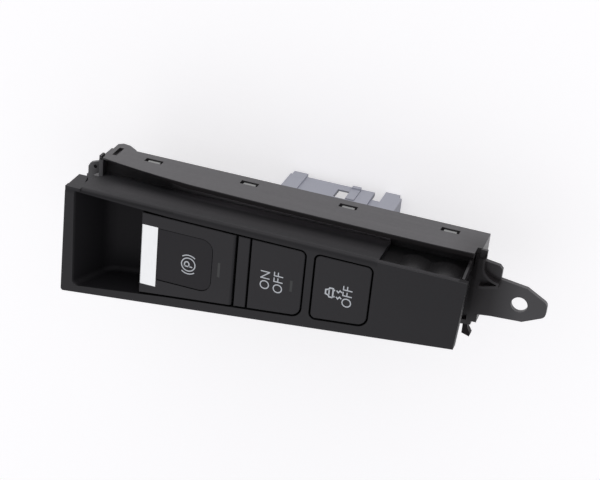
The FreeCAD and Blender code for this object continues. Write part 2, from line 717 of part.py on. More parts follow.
# Fixing tab with its hole, shoulder, post and curved web
raise_outline(housing, "fixing_tab", [
    (RIGHT + " - 1", "tab_shoulder + 1.2"),
    ("-tab_root - 1.3", "tab_shoulder"),
    ("-tab_root", "tab_shoulder - 1.4"),
    ("-tab_root", "tab_half_width + 1.6"),
    ("0.2 * tab_nose", "tab_half_width + 0.2"),
    ("tab_nose", "tab_half_nose"),
    ("tab_nose", "-tab_half_nose"),
    ("0.2 * tab_nose", "-tab_half_width + 0.3"),
    ("-tab_root - 1.8", "-tab_half_width - 0.5"),
    (RIGHT + " - 1", "-tab_half_width - 1.6"),
], "0", "tab_thick")
tab_top = size("tab_thick")
nose_x = size("tab_nose")
round_edges(housing, "tab_nose_round", "tab_half_nose - 0.3", lambda e: straight(e, Z_AXIS) and
    near(e.CenterOfMass.x, nose_x) and near(e.CenterOfMass.z, tab_top / 2))
raise_outline(housing, "post", [
    (RIGHT + " - 0.4", "wall_top - 0.1"),
    (RIGHT + " + post_width", "wall_top - 0.1"),
    (RIGHT + " + post_width", "web_foot + 6"),
    (RIGHT + " - 0.4", "web_foot + 6"),
], "0", "0.6 * tab_thick")
raise_outline(housing, "curved_web", [
    (RIGHT + " + post_width - web_thick", "web_foot + 11.5"),
    (RIGHT + " + post_width", "web_foot + 11.5"),
    (RIGHT + " + post_width + 0.2", "web_foot + 8"),
    (RIGHT + " + post_width + 0.9", "web_foot + 6.2"),
    (RIGHT + " + post_width + 2.6", "web_foot + 4.6"),
    (RIGHT + " + post_width + 4.6", "web_foot + 3.6"),
    (RIGHT + " + post_width + 6.6", "web_foot + 3.2"),
    (RIGHT + " + post_width + 6.6", "web_foot + 0.9"),
    (RIGHT + " + post_width + 0.4", "web_foot - 0.8"),
    (RIGHT + " + post_width - web_thick", "web_foot - 0.8"),
], "tab_thick - 0.5", "tab_thick + post_thick")
sink_outline(housing, "web_pocket", [
    (RIGHT + " + post_width - web_thick - 1", "web_foot + 12"),
    (RIGHT + " + post_width - web_thick", "web_foot + 12"),
    (RIGHT + " + post_width - web_thick + 0.2", "web_foot + 7.6"),
    (RIGHT + " + post_width - web_thick + 1.1", "web_foot + 5.5"),
    (RIGHT + " + post_width - web_thick + 3", "web_foot + 3.7"),
    (RIGHT + " + post_width - web_thick + 5.1", "web_foot + 2.7"),
    (RIGHT + " + post_width + 5.6", "web_foot + 2.4"),
    (RIGHT + " + post_width + 5.6", "web_foot + 1.9"),
    (RIGHT + " + post_width + 0.4", "web_foot + 0.4"),
    (RIGHT + " + post_width - web_thick - 1", "web_foot + 0.4"),
], "tab_thick", "tab_thick + post_thick + 1")
bar(housing, "fixing_hole", "Z", ("0", "0", "-1"), "hole_radius", "tab_thick + 2", cut=True)
block(housing, "tab_rib", RIGHT + " - 1", RIGHT + " + post_width", "-12.3", "-tab_half_width - 1.4",
      "-6", "tab_thick")
raise_outline(housing, "corner_hook", [
    (RIGHT + " - 3", low_edge(RIGHT, "low_inset + 1")),
    (RIGHT + " - 1", low_edge(RIGHT, "low_inset + 1")),
    (RIGHT + " - 1", low_edge(RIGHT, "low_inset - 1.6")),
    (RIGHT + " + 0.6", low_edge(RIGHT, "low_inset - 4.2")),
    (RIGHT + " + 0.2", low_edge(RIGHT, "low_inset - 5.4")),
    (RIGHT + " - 3", low_edge(RIGHT, "low_inset - 4.4")),
], "-2", TRIM_BACK + " - fit_gap")

# Stepped left end of the tall wall: a toothed flange at the front, then the slotted lug behind
# it and the small pierced ear beside it, with a web down to the end wall
block(housing, "end_step_cut", LEFT + " - 1", LEFT + " + end_step", "wall_top - 0.6 * wall", "wall_top + 1",
      "-housing_back - 1", "lip_left + 1", cut=True)
block(housing, "end_flange", LEFT, LEFT + " + 0.6 * end_step", "wall_top - wall - 1", "wall_top + 0.4",
      "lip_left - 3.4", "lip_left - 0.2")
for i in range(2):
    tooth = "(lip_left - 1.1 - %d * 1.1)" % i
    block(housing, "flange_nick_%d" % (i + 1), LEFT + " - 1", LEFT + " + end_step", "wall_top - 0.2",
          "wall_top + 1", tooth + " - 0.5", tooth, cut=True)
side_pad(housing, "slotted_lug", [
    (LEFT + " + end_step", "lip_left - 3.4"),
    (LEFT + " + end_step", "-housing_back - 2.6"),
    (LEFT + " + 3.6", "-housing_back - 4.2"),
    (LEFT + " + 6.9", "-housing_back - 3.6"),
    (LEFT + " + 11", "-housing_back - 0.6"),
    (LEFT + " + 8.3", "lip_left - 4.4"),
], "wall_top - wall", "wall_top")
block(housing, "lug_slot", LEFT + " + 3.8", LEFT + " + 5.8", "wall_top - 1.4", "wall_top + 1",
      "-housing_back + 0.3", "-housing_back + 7.9", cut=True)
block(housing, "ear_web", LEFT + " - 5.9", LEFT + " + 0.5", "0", "wall_top - 9.8", "lip_left - 5",
      "lip_left - 1.2")
raise_outline(housing, "pierced_ear", [
    (LEFT + " + 0.5", "wall_top - 2.1"),
    (LEFT + " - 3.9", "wall_top - 3.8"),
    (LEFT + " - 4.8", "wall_top - 5.4"),
    (LEFT + " - 4.8", "wall_top - 10.5"),
    (LEFT + " + 0.5", "wall_top - 7.2"),
], "lip_left - 2", "lip_left - 0.2")
bar(housing, "ear_hole", "Z", (LEFT + " - 1.6", "wall_top - 5", "lip_left - 1.4"), "0.8", "3", cut=True)

# Switch base: grey tray that closes the back of the housing and latches into its windows
base = new_body("switch_base")


def base_outline(edge):
    return housing_inside("(base_clearance + %s)" % edge)


raise_outline(base, "base_block", base_outline("0"), "-housing_back", DECK_LOW + " - base_clearance")
sink_outline(base, "base_room", base_outline("base_wall"), FLOOR_TOP, DECK_LOW + " + 1")
block(base, "well_clearance", INNER_0 + " - 1", WELL_1 + " + well_floor + 0.4",
      WELL_LOW + " - well_floor - 0.4", "wall_top",
      "deck_top - well_depth - well_floor - 0.2", DECK_LOW + " + 1", cut=True)
for i, x0 in enumerate(WINDOWS):
    side = "lug_side_gap"
    x1 = "(%s + window_width)" % x0
    z0 = "(0.4 - window_back)"
    z1 = "(window_length - 0.4 - window_back)"
    block(base, "lug_%d" % (i + 1), "%s + %s" % (x0, side), "%s - %s" % (x1, side),
          "wall_top - wall - base_clearance - 0.4", "wall_top - lug_recess", z0, z1)
    block(base, "low_lug_%d" % (i + 1), "%s + %s" % (x0, side), "%s - %s" % (x1, side),
          low_edge(x1, "low_inset + lug_recess"),
          low_edge(x1, "low_inset + wall + base_clearance + 0.4"), z0, z1)
SOCKET_0 = "(-socket_left)"
SOCKET_1 = "(socket_width - socket_left)"
SOCKET_LOW = "(socket_top - socket_height)"
block(base, "socket_window", SOCKET_0 + " - fit_gap", SOCKET_1 + " + fit_gap", SOCKET_LOW + " - fit_gap",
      "socket_top + fit_gap", "-housing_back - 1", FLOOR_TOP + " + 1", cut=True)
BOARD_X0 = "(%s + board_left_inset)" % LEVER_0
BOARD_X1 = "(%s - board_right_inset)" % RIGHT
BOARD_Y0 = low_edge(BOARD_X1, "low_inset + wall + base_clearance + base_wall + board_margin")
BOARD_Y1 = "(wall_top - wall - base_clearance - base_wall - board_margin)"
SCREWS = [
    ("(%s + screw_inset)" % BOARD_X0, "(%s - screw_inset)" % BOARD_Y1),
    ("(%s + screw_inset)" % BOARD_X0, "(%s + screw_inset)" % BOARD_Y0),
    ("(%s - screw_inset)" % BOARD_X1, "(%s - screw_inset)" % BOARD_Y1),
    ("(%s - screw_inset)" % BOARD_X1, "(%s + screw_inset)" % BOARD_Y0),
]
for i, (x, y) in enumerate(SCREWS):
    bar(base, "boss_%d" % (i + 1), "Z", (x, y, FLOOR_TOP + " - 0.5"), "screw_radius + 1.5", "board_gap + 0.5")
for i, (x, y) in enumerate(SCREWS):
    bar(base, "boss_hole_%d" % (i + 1), "Z", (x, y, FLOOR_TOP + " - 0.2"), "screw_radius + 0.02",
        "board_gap + 1", cut=True)

# Circuit board with its screw holes and the holes of the terminal pins
PIN_ROWS = [
    "(socket_top - socket_height / 2 + pin_row / 2)",
    "(socket_top - socket_height / 2 - pin_row / 2)",
]
PIN_COLUMNS = []
for i in range(int(size("pin_count"))):
    step = "(%d - (pin_count - 1) / 2)" % i
    PIN_COLUMNS.append("(%s + socket_width / 2 + %s * pin_pitch)" % (SOCKET_0, step))
PIN_HOLE = "(0.78 * pin_size)"
board = new_body("circuit_board")
raise_outline(board, "board_plate", [
    (BOARD_X0, BOARD_Y1),
    (BOARD_X0, BOARD_Y0),
    (BOARD_X1, BOARD_Y0),
    (BOARD_X1, BOARD_Y1),
], BOARD_LOW, BOARD_TOP)
holes = new_sketch(board, "board_holes", "XY_Plane", BOARD_TOP)
circles(holes, [(x, y, "screw_radius + 0.2") for x, y in SCREWS]
        + [(x, y, PIN_HOLE) for x in PIN_COLUMNS for y in PIN_ROWS])
solid_from(board, "board_drilling", holes, "board_thick", cut=True)

# Connector socket soldered to the back of the board
socket = new_body("connector_socket")
block(socket, "socket_block", SOCKET_0, SOCKET_1, SOCKET_LOW, "socket_top", "-socket_end", BOARD_LOW)
block(socket, "left_horn", SOCKET_0 + " + 1.2", SOCKET_0 + " + horn_width + 1.1", SOCKET_LOW, "socket_top",
      "-socket_end - 0.5 * horn_length", "-socket_end")
block(socket, "left_rail", SOCKET_0 + " + 1.2", SOCKET_0 + " + horn_width + 1.1", "socket_top - 0.5",
      "socket_top + rail_rise", "-socket_end - 0.5 * horn_length", "-housing_back - fit_gap")
block(socket, "right_horn", SOCKET_1 + " - horn_width - 1.4", SOCKET_1 + " - 1.4", SOCKET_LOW, "socket_top",
      "-socket_end - horn_length", "-socket_end")
SOCKET_BACK = "(%s - socket_base)" % BOARD_LOW
block(socket, "socket_room", SOCKET_0 + " + socket_wall", SOCKET_1 + " - socket_wall - 1.4",
      SOCKET_LOW + " + socket_wall", "socket_top - socket_wall", "-socket_end - horn_length - 1",
      SOCKET_BACK, cut=True)
block(socket, "key_notch", SOCKET_1 + " - horn_width - 5.4", SOCKET_1 + " - horn_width - 1.4",
      "socket_top - socket_wall - 1", "socket_top + 1", "-socket_end - 1", "-socket_end + 5", cut=True)
block(socket, "key_groove", SOCKET_1 + " - horn_width - 5.4", SOCKET_1 + " - horn_width - 1.4",
      "socket_top - key_depth", "socket_top + 1", "-socket_end - 1", "-housing_back - fit_gap", cut=True)
block(socket, "latch_window", SOCKET_0 + " + 22.4", SOCKET_0 + " + 27.5", "socket_top - socket_wall - 1",
      "socket_top + 1", "-socket_end + 4.7", "-socket_end + 12", cut=True)
block(socket, "latch_relief", SOCKET_0 + " + 22.4", SOCKET_0 + " + 27.5", "socket_top - socket_wall - 1",
      "socket_top - 0.7", "-socket_end - 1", "-socket_end + 5", cut=True)
block(socket, "lock_groove", SOCKET_0 + " + 27.4", SOCKET_0 + " + 31.4", "socket_top - 0.8",
      "socket_top + 1", "-socket_end - 1", "-socket_end + 12", cut=True)
pin_holes = new_sketch(socket, "pin_holes", "XY_Plane", BOARD_LOW)
circles(pin_holes, [(x, y, PIN_HOLE) for x in PIN_COLUMNS for y in PIN_ROWS])
solid_from(socket, "pin_drilling", pin_holes, "socket_base + 1", cut=True)

# Secondary lock of the connector, lying in the groove of its upper wall
lock = new_body("connector_lock")
block(lock, "lock_bar", SOCKET_0 + " + 27.6", SOCKET_0 + " + 31.3", "socket_top - 0.8", "socket_top + 0.4",
      "-socket_end + 0.4", "-socket_end + 11.8")
block(lock, "lock_grip", SOCKET_0 + " + 27.6", SOCKET_0 + " + 31.3", "socket_top + 0.4", "socket_top + 1.1",
      "-socket_end + 0.4", "-socket_end + 2.4")


def group(label, boxes):
    """Equal loose pieces of one node: each a box with bound place and size."""
    members = []
    for i, (x0, x1, y0, y1, z0, z1) in enumerate(boxes):
        box = doc.addObject("Part::Box", "%s_%d" % (label, i + 1))
        for path, text in (("Placement.Base.x", x0), ("Placement.Base.y", y0), ("Placement.Base.z", z0)):
            hold(box, path, text)
        hold(box, "Length", "(%s) - (%s)" % (x1, x0))
        hold(box, "Width", "(%s) - (%s)" % (y1, y0))
        hold(box, "Height", "(%s) - (%s)" % (z1, z0))
        members.append(box)
    compound = doc.addObject("Part::Compound", label)
    compound.Links = members
    compound.Label = label
    return compound


def around(x, y, width, depth, z0, z1):
    return ("%s - %s / 2" % (x, width), "%s + %s / 2" % (x, width),
            "%s - %s / 2" % (y, depth), "%s + %s / 2" % (y, depth), z0, z1)


pins = group("terminal_pins", [
    around(x, y, "pin_size", "pin_size", "-pin_reach", BOARD_TOP + " + 0.8") for x in PIN_COLUMNS for y in PIN_ROWS
])
leds = group("leds", [
    around(x, y, "led_size", "led_size", BOARD_TOP, BOARD_TOP + " + led_height") for _, x, y in LIGHT_PLACES
])

# Light guides: clear prisms that stand in the deck above the lights, with a flange
lights = []
for name, x, y in LIGHT_PLACES:
    guide = new_body(name + "_light_guide")
    block(guide, name + "_prism", "%s - guide_light / 2" % x, "%s + guide_light / 2" % x,
          "%s - guide_light / 2" % y, "%s + guide_light / 2" % y, BOARD_TOP + " + led_height + slide_clearance",
          "guide_light_top")
    block(guide, name + "_flange", "%s - guide_light / 2 - 0.8" % x, "%s + guide_light / 2 + 0.8" % x,
          "%s - guide_light / 2 - 0.8" % y, "%s + guide_light / 2 + 0.8" % y, "deck_top", "deck_top + 1")
    lights.append(guide)

# Screws that hold the board to the base
screws = doc.addObject("Part::Compound", "board_screws")
members = []
for i, (x, y) in enumerate(SCREWS):
    shank = doc.addObject("Part::Cylinder", "screw_shank_%d" % (i + 1))
    head = doc.addObject("Part::Cylinder", "screw_head_%d" % (i + 1))
    for part_of_screw, low_z in ((shank, BOARD_TOP + " - screw_length"), (head, BOARD_TOP)):
        hold(part_of_screw, "Placement.Base.x", x)
        hold(part_of_screw, "Placement.Base.y", y)
        hold(part_of_screw, "Placement.Base.z", low_z)
    hold(shank, "Radius", "screw_radius")
    hold(shank, "Height", "screw_length + 0.2")
    hold(head, "Radius", "screw_head")
    hold(head, "Height", "screw_head_height")
    screw = doc.addObject("Part::Fuse", "screw_%d" % (i + 1))
    screw.Base = shank
    screw.Tool = head
    members.append(screw)
screws.Links = members
screws.Label = "board_screws"

# Rubber domes under the button stems
domes = []
for name, x in STEM_X.items():
    dome = new_body(name + "_dome")
    for kind, r1, r2, z0, z1 in (
        ("Additive", "dome_radius", "dome_tip", BOARD_TOP, "stem_tip - 0.1"),
        ("Subtractive", "dome_radius - 0.8", "dome_tip - 0.6", BOARD_TOP + " - 0.01", "stem_tip - 1.1"),
    ):
        cone = dome.newObject("PartDesign::%sCone" % kind, "%s_dome_%s" % (name, kind.lower()))
        hold(cone, "Placement.Base.x", x)
        hold(cone, "Placement.Base.y", BUTTON_Y)
        hold(cone, "Placement.Base.z", z0)
        hold(cone, "Radius1", r1)
        hold(cone, "Radius2", r2)
        hold(cone, "Height", "(%s) - (%s)" % (z1, z0))
    domes.append(dome)

# Push buttons: cap plate, skirt that slides on the guide tube, stem down to the dome
CAP_BACK = "(face_height - cap_plate)"


def make_cap(label, x0, x1, rounded, stem_x):
    """rounded lists (x, upper half, radius) for each rounded corner of the cap."""
    cap = new_body(label)
    raise_outline(cap, label + "_plate", [
        (x0, "button_top"),
        (x0, low_edge(x0, "lower_rim + gap")),
        (x1, low_edge(x1, "lower_rim + gap")),
        (x1, "button_top"),
    ], CAP_BACK, "face_height")
    for i, (x, upper, radius) in enumerate(rounded):
        place = number(x)
        round_edges(cap, "%s_corner_%d" % (label, i + 1), radius, lambda e: straight(e, Z_AXIS) and
            near(e.CenterOfMass.x, place) and (e.CenterOfMass.y > 0) == upper)
    top_face = size("face_height")
    round_edges(cap, label + "_soft_edge", "face_round * 0.7", lambda e: len(e.Vertexes) == 2 and all(
        near(v.Z, top_face) for v in e.Vertexes))
    low = low_edge(x1, "lower_rim + gap")
    skirt_low = "(face_height - skirt_length - cap_plate)"
    block(cap, label + "_skirt", x0 + " + skirt_inset", x1 + " - skirt_inset", low + " + skirt_inset",
          "button_top - skirt_inset", skirt_low, CAP_BACK + " + 0.2")
    block(cap, label + "_room", x0 + " + skirt_inset + skirt_wall", x1 + " - skirt_inset - skirt_wall",
          low + " + skirt_inset + skirt_wall", "button_top - skirt_inset - skirt_wall",
          skirt_low + " - 1", CAP_BACK, cut=True)
    bar(cap, label + "_stem", "Z", (stem_x, BUTTON_Y, "stem_tip"), "stem_radius", CAP_BACK + " + 0.2 - stem_tip")
    return cap


hold_button = make_cap("hold_button", HOLD_0, HOLD_1, [
    (HOLD_1, True, "cap_round"), (HOLD_1, False, "cap_low_round")], STEM_X["hold"])
LENS_X = "(%s - hold_lens_inset)" % HOLD_1
block(hold_button, "lens_seat", LENS_X + " - lens_width / 2", LENS_X + " + lens_width / 2",
      BUTTON_Y + " - 1.2 - lens_length / 2", BUTTON_Y + " - 1.2 + lens_length / 2",
      "face_height - lens_depth", "face_height + 1", cut=True)
hold_lens = new_body("hold_lens")
block(hold_lens, "hold_lens_bar", LENS_X + " - lens_width / 2", LENS_X + " + lens_width / 2",
      BUTTON_Y + " - 1.2 - lens_length / 2", BUTTON_Y + " - 1.2 + lens_length / 2",
      "face_height - lens_depth", "face_height - 0.05")
stability_button = make_cap("stability_button", STABILITY_0, STABILITY_1, [
    (STABILITY_0, True, "cap_round"), (STABILITY_0, False, "cap_round"),
    (STABILITY_1, True, "cap_round"), (STABILITY_1, False, "cap_low_round")], STEM_X["stability"])

# Divider strip between lever and hold button, clipped over the rail of the housing
divider = new_body("divider_strip")
raise_outline(divider, "divider_bar", [
    (DIVIDER_0, "button_top"),
    (DIVIDER_0, low_edge(DIVIDER_0, "lower_rim + gap")),
    (DIVIDER_1, low_edge(DIVIDER_1, "lower_rim + gap")),
    (DIVIDER_1, "button_top"),
], WEB_TOP + " - clip_depth", "face_height")
top_face = size("face_height")
round_edges(divider, "divider_soft_edge", "face_round * 0.7", lambda e: len(e.Vertexes) == 2 and all(
    near(v.Z, top_face) for v in e.Vertexes))
block(divider, "divider_groove", WEB_0 + " - 0.05", WEB_1 + " + 0.05", low_edge(DIVIDER_0, "lower_rim - 1"),
      "button_top + 1", WEB_TOP + " - 2", WEB_TOP, cut=True)

# Brake lever: plate with a finger lip, ears on the pivot pin and an arm down to the slider
lever = new_body("brake_lever")
LEVER_TOP_0 = "(button_top + lever_top_rise)"
PLATE_BACK = "(face_height - lever_plate)"
raise_outline(lever, "lever_plate_block", [
    (LEVER_0, LEVER_TOP_0),
    (LEVER_0, low_edge(LEVER_0, "lower_rim + gap")),
    (LEVER_1, low_edge(LEVER_1, "lower_rim + gap")),
    (LEVER_1, "button_top"),
], PLATE_BACK, "face_height")
LIP_1 = "(%s + lip_length)" % LEVER_0
raise_outline(lever, "finger_lip", [
    (LEVER_0, LEVER_TOP_0),
    (LEVER_0, low_edge(LEVER_0, "lower_rim + gap")),
    (LIP_1, low_edge(LIP_1, "lower_rim + gap")),
    (LIP_1, LEVER_TOP_0 + " - 0.02"),
], "face_height - lip_depth", PLATE_BACK + " + 0.1")
lip_z = number("face_height - lip_depth")
lip_x = number(LIP_1)
round_edges(lever, "lip_round", "0.3 * lip_length", lambda e: len(e.Vertexes) == 2 and all(
    near(v.Z, lip_z) for v in e.Vertexes) and abs(e.Vertexes[0].X - e.Vertexes[1].X) < 0.1)
pivot_end = number(LEVER_1)
round_edges(lever, "lever_pivot_round", "pivot_round", lambda e: straight(e, Y_AXIS) and all(
    near(v.X, pivot_end) and near(v.Z, top_face) for v in e.Vertexes))
round_edges(lever, "lever_soft_edge", "face_round * 0.7", lambda e: len(e.Vertexes) == 2 and all(
    near(v.Z, top_face) for v in e.Vertexes) and e.Length > 30.5 and e.CenterOfMass.x < pivot_end - 2)
RIB_0 = "(%s + fit_gap + collar_wall + 0.8)" % HOLLOW_0
RIB_1 = "(%s - 4.5)" % PIVOT_X
RIB_TOP = "(button_top - skirt_inset)"
RIB_BACK = "(%s - lever_rib_depth)" % PLATE_BACK
block(lever, "rib_high", RIB_0, RIB_1, RIB_TOP + " - lever_rib", RIB_TOP, RIB_BACK, PLATE_BACK + " + 0.1")
raise_outline(lever, "rib_low", [
    (RIB_0, low_edge(RIB_0, "lower_rim + gap + skirt_inset + lever_rib")),
    (RIB_0, low_edge(RIB_0, "lower_rim + gap + skirt_inset")),
    (RIB_1, low_edge(RIB_1, "lower_rim + gap + skirt_inset")),
    (RIB_1, low_edge(RIB_1, "lower_rim + gap + skirt_inset + lever_rib")),
], RIB_BACK, PLATE_BACK + " + 0.1")
block(lever, "rib_end", RIB_0, RIB_0 + " + lever_rib", low_edge(RIB_0, "lower_rim + gap + skirt_inset + 0.3"),
      RIB_TOP + " - 0.3", RIB_BACK, PLATE_BACK + " + 0.1")
EAR_RADIUS = "(pin_radius + ear_wall)"
EAR_HIGH = "(%s - bearing_side_gap - ear_width)" % BEARING_HIGH
EAR_LOW = "(%s + bearing_width + bearing_side_gap)" % BEARING_LOW
for name, y0, wide in (
    ("ear_high", EAR_HIGH, "ear_width"),
    ("ear_low", EAR_LOW, "ear_width"),
    ("arm_hub", "(arm_centre - arm_width / 2)", "arm_width"),
):
    block(lever, name, "%s - %s" % (PIVOT_X, EAR_RADIUS), "%s + %s" % (PIVOT_X, EAR_RADIUS),
          y0, "%s + %s" % (y0, wide), PIVOT_Z, PLATE_BACK + " + 0.1")
    bar(lever, name + "_hub", "Y", (PIVOT_X, y0, PIVOT_Z), EAR_RADIUS, wide)
ARM_TIP = "(%s + arm_clearance)" % SLIDER_LOW
block(lever, "lever_arm", "%s - arm_thick / 2" % PIVOT_X, "%s + arm_thick / 2" % PIVOT_X,
      "arm_centre - arm_width / 2", "arm_centre + arm_width / 2", ARM_TIP, PIVOT_Z)
block(lever, "spring_rib", SPRING_X + " - spring_radius - 0.6", "%s - %s + 0.5" % (PIVOT_X, EAR_RADIUS),
      "arm_centre - arm_width / 2", "arm_centre + arm_width / 2", RIB_BACK, PLATE_BACK + " + 0.1")
bar(lever, "spring_boss", "Z", (SPRING_X, "arm_centre", RIB_BACK + " - 1.6"),
    "spring_radius - spring_wire / 2 - 0.15", "1.8")
bar(lever, "lever_bore", "Y", (PIVOT_X, EAR_LOW + " - 1", PIVOT_Z), "pin_radius + pin_clearance",
    "bearing_span + 2", cut=True)
STRIP_TOP = "strip_top"
STRIP_LOW = "(strip_top - strip_length)"
STRIP_1 = "(%s + strip_width)" % LEVER_0
block(lever, "strip_seat", LEVER_0 + " - 1", STRIP_1, STRIP_LOW, STRIP_TOP, "face_height - strip_thick",
      "face_height + 1", cut=True)
block(lever, "strip_seat_front", LEVER_0 + " - 1", LEVER_0 + " + strip_thick", STRIP_LOW, STRIP_TOP,
      "face_height - strip_drop", "face_height", cut=True)


def dish_outline(edge, radius):
    """Outline of the dish moved in by edge, with its two right corners rounded."""
    left = "(-dish_right - dish_width - 0.2 * %s)" % edge
    centre_x = "(-dish_right - %s - %s)" % (edge, radius)
    low = "(strip_top - 0.2 - dish_width + %s)" % edge
    high = "(strip_top - 0.2 - %s)" % edge
    points = [(left, high), (left, low)]
    for start, centre_y in ((-90, "(%s + %s)" % (low, radius)), (0, "(%s - %s)" % (high, radius))):
        for step in range(7):
            turn = math.radians(start + 15 * step)
            points.append((
                "%s + %s * %.5f" % (centre_x, radius, math.cos(turn)),
                "%s + %s * %.5f" % (centre_y, radius, math.sin(turn)),
            ))
    return points


sink_outline(lever, "dish", dish_outline("0", "dish_round"), "face_height - dish_depth - groove_depth",
             "face_height + 1")
raise_outline(lever, "dish_floor", dish_outline("dish_groove", "(dish_round - dish_groove)"),
              "face_height - dish_depth - groove_depth - 0.1", "face_height - dish_depth")
LEVER_LENS_X = "(%s - lever_lens_inset)" % LEVER_1
LEVER_LENS_LOW = "(1 - sign_low - lever_lens_length / 2)"
LEVER_LENS_HIGH = "(1 - sign_low + lever_lens_length / 2)"
block(lever, "lever_lens_seat", LEVER_LENS_X + " - lens_width / 2", LEVER_LENS_X + " + lens_width / 2",
      LEVER_LENS_LOW, LEVER_LENS_HIGH, "face_height - lens_depth", "face_height + 1", cut=True)
lever_lens = new_body("lever_lens")
block(lever_lens, "lever_lens_bar", LEVER_LENS_X + " - lens_width / 2", LEVER_LENS_X + " + lens_width / 2",
      LEVER_LENS_LOW, LEVER_LENS_HIGH, "face_height - lens_depth", "face_height - 0.05")

# Bright strip on the finger edge of the lever, bent over the edge
strip = new_body("lever_strip")
side_pad(strip, "strip_bend", [
    (LEVER_0, "face_height"),
    (LEVER_0, "face_height - strip_drop"),
    (LEVER_0 + " + strip_thick", "face_height - strip_drop"),
    (LEVER_0 + " + strip_thick", "face_height - strip_thick"),
    (STRIP_1, "face_height - strip_thick"),
    (STRIP_1, "face_height"),
], STRIP_LOW, STRIP_TOP)
lever_x = number(LEVER_0)
round_edges(strip, "strip_outer_round", "0.6 * strip_thick", lambda e: straight(e, Y_AXIS) and all(
    near(v.X, lever_x) and near(v.Z, top_face) for v in e.Vertexes))

# Pivot pin of the lever
pin = new_body("pivot_pin")
bar(pin, "pin_bar", "Y", (PIVOT_X, BEARING_LOW, PIVOT_Z), "pin_radius", "bearing_span + 2 * bearing_width")

# Return spring between the deck and the lever
spring = new_body("lever_spring")
wire = spring.newObject("Sketcher::SketchObject", "spring_section")
wire.AttachmentSupport = [(plane(spring, "XZ_Plane"), "")]
wire.MapMode = "FlatFace"
circles(wire, [("spring_radius", "spring_wire / 2", "spring_wire / 2")])
coil = spring.newObject("PartDesign::AdditiveHelix", "spring_coil")
coil.Profile = wire
coil.ReferenceAxis = (wire, ["V_Axis"])
coil.Mode = 0
hold(coil, "Pitch", "spring_pitch")
hold(coil, "Height", "%s - deck_top - spring_wire - 0.02" % RIB_BACK)
hold(spring, "Placement.Base.x", SPRING_X)
hold(spring, "Placement.Base.y", "arm_centre")
hold(spring, "Placement.Base.z", "deck_top + 0.01")

# Contact slider that the lever arm pushes along the board, with its two wipers
slider = new_body("contact_slider")
SLIDER_TOP = "(%s + slider_thick)" % SLIDER_LOW
block(slider, "slider_block", "%s - slider_length / 2" % PIVOT_X, "%s + slider_length / 2" % PIVOT_X,
      "arm_centre - slider_width / 2", "arm_centre + slider_width / 2", SLIDER_LOW, SLIDER_TOP)
block(slider, "arm_pocket", "%s - arm_thick / 2 - slot_clearance" % PIVOT_X,
      "%s + arm_thick / 2 + slot_clearance" % PIVOT_X, "arm_centre - arm_width / 2 - slide_clearance",
      "arm_centre + arm_width / 2 + slide_clearance", ARM_TIP + " - slot_clearance", SLIDER_TOP + " + 1", cut=True)
WIPERS = [around(PIVOT_X + " + 4.2", "(arm_centre + %d)" % side, "2", "1.2", SLIDER_LOW, SLIDER_LOW + " + 0.3")
          for side in (2, -2)]
for i, (x0, x1, y0, y1, z0, z1) in enumerate(WIPERS):
    block(slider, "wiper_seat_%d" % (i + 1), x0, x1, y0, y1, z0 + " - 1", z1, cut=True)
wipers = group("slider_wipers", WIPERS)

pieces = [
    trim, housing, base, board, socket, lock, pins, leds, screws, hold_button, hold_lens,
    stability_button, divider, lever, lever_lens, strip, pin, spring, slider, wipers,
] + lights + domes

# Check every object, then write one file for each piece
doc.removeObject("Spare")
doc.recompute()
for thing in doc.Objects:
    if "Invalid" in thing.State or "Error" in thing.State:
        raise RuntimeError("failed object: " + thing.Label)
os.makedirs("parts", exist_ok=True)
for piece in pieces:
    shape = piece.Shape
    if shape.isNull() or not shape.isValid() or shape.Volume <= 0:
        raise RuntimeError("bad shape: " + piece.Label)
    shape.exportStep("parts/" + piece.Label + ".step")
    print("%-24s %3d solid %10.1f mm3" % (piece.Label, len(shape.Solids), shape.Volume))
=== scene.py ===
import math

import bmesh
import bpy
from mathutils import Matrix, Vector


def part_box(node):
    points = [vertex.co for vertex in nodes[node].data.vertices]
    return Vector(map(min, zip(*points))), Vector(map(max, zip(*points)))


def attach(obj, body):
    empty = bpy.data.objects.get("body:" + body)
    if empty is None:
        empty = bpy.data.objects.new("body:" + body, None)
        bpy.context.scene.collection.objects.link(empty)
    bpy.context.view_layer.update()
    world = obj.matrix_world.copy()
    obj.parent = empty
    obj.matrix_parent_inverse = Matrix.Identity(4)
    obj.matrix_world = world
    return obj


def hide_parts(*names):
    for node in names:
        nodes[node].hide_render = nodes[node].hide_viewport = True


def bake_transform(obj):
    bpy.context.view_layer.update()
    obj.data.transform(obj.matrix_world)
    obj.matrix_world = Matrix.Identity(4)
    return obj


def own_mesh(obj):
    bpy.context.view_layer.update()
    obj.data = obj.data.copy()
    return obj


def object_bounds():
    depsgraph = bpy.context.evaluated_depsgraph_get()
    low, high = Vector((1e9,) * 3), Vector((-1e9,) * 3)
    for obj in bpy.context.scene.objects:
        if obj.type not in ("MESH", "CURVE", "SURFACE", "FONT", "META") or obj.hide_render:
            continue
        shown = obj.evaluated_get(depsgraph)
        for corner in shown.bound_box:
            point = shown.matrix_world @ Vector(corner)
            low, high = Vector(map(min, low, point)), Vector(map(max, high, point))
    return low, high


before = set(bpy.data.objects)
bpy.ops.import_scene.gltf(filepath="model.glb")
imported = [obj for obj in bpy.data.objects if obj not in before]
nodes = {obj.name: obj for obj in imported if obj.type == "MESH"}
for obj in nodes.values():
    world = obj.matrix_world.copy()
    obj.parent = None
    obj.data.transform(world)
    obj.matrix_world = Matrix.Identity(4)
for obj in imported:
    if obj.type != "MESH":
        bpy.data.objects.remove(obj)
cad_box = [list(corner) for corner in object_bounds()]


